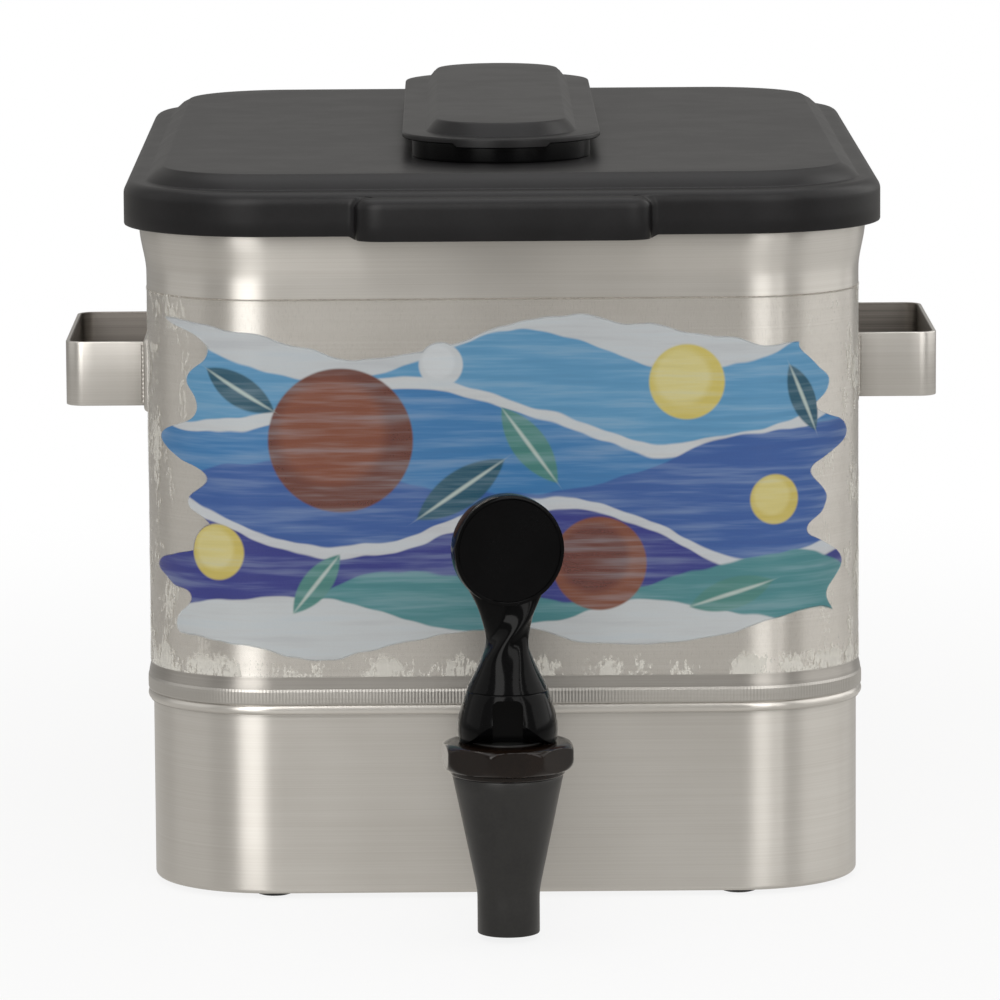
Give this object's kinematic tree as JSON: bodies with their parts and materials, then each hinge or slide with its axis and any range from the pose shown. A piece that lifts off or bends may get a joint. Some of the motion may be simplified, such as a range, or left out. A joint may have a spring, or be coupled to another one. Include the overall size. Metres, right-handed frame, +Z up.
{
  "type": "iced tea dispenser",
  "caption": "Low brushed steel drink dispenser with rounded corners, a lift-off moulded lid with a long plug, side strap handles and a self-closing front tap with a twisted lever.",
  "frame": {"origin": "on the surface the dispenser stands on, under the middle of its whole outline", "axes": "+Z up, -Y towards the tap and the user, +X to the right as seen from the front"},
  "size_m": [0.291, 0.4216, 0.2446],
  "materials": {
    "wall_steel": "brushed",
    "skirt_steel": "brushed",
    "pan_steel": "satin",
    "handle_steel": "brushed",
    "film": "clear printed film",
    "foot_rubber": "matt",
    "lid_plastic": "fine grain",
    "cap_plastic": "fine grain",
    "plug_plastic": "gloss",
    "tap_plastic": "satin",
    "bonnet_plastic": "gloss",
    "lever_plastic": "gloss",
    "badge_plastic": "satin gloss",
    "silicone": "satin",
    "stem_plastic": "satin",
    "inner_steel": "bright",
    "nut_plastic": "satin"
  },
  "bodies": {
    "tank": {"tank_shell": "wall_steel", "base_skirt": "skirt_steel", "base_feet": "foot_rubber", "bottom_pan": "pan_steel", "label_film": "film", "side_handle_left": "handle_steel", "side_handle_right": "handle_steel", "handle_plate_left": "handle_steel", "handle_plate_right": "handle_steel", "faucet_body": "tap_plastic", "outer_seal": "silicone", "wall_spacer": "nut_plastic", "inner_seal": "silicone", "shank_nut": "nut_plastic", "bonnet_nut": "bonnet_plastic", "return_spring": "inner_steel"},
    "lid": {"lid_shell": "lid_plastic"},
    "plug": {"plug_body": "plug_plastic", "plug_cap": "cap_plastic"},
    "swivel": {"wear_washer": "stem_plastic"},
    "stem": {"valve_stem": "stem_plastic", "seat_cup": "silicone"},
    "lever": {"tap_lever": "lever_plastic", "lever_badge": "badge_plastic", "lever_pin": "inner_steel"}
  },
  "joints": [
    {"name": "lid_lift", "type": "slide", "parent": "tank", "child": "lid", "axis": [0, 0, 1], "range_m": [0, 0.06]},
    {"name": "plug_lift", "type": "slide", "parent": "lid", "child": "plug", "axis": [0, 0, 1], "range_m": [0, 0.04]},
    {"name": "lever_swivel", "type": "hinge", "parent": "tank", "child": "swivel", "pos_m": [0, -0.19116, 0.06275], "axis": [0, 0, 1], "continuous": true},
    {"name": "stem_lift", "type": "slide", "parent": "swivel", "child": "stem", "axis": [0, 0, 1], "range_m": [0, 0.00423], "deforming": ["return_spring"]},
    {"name": "lever_tilt", "type": "hinge", "parent": "stem", "child": "lever", "pos_m": [0, -0.19116, 0.07015], "axis": [1, 0, 0], "range_deg": [0, 40], "stiffness_Nm_per_rad": 0.05, "springref_deg": -17.19}
  ],
  "couplings": [
    {"joint": "stem_lift", "follows": "lever_tilt", "m_per_rad": 0.005769}
  ]
}
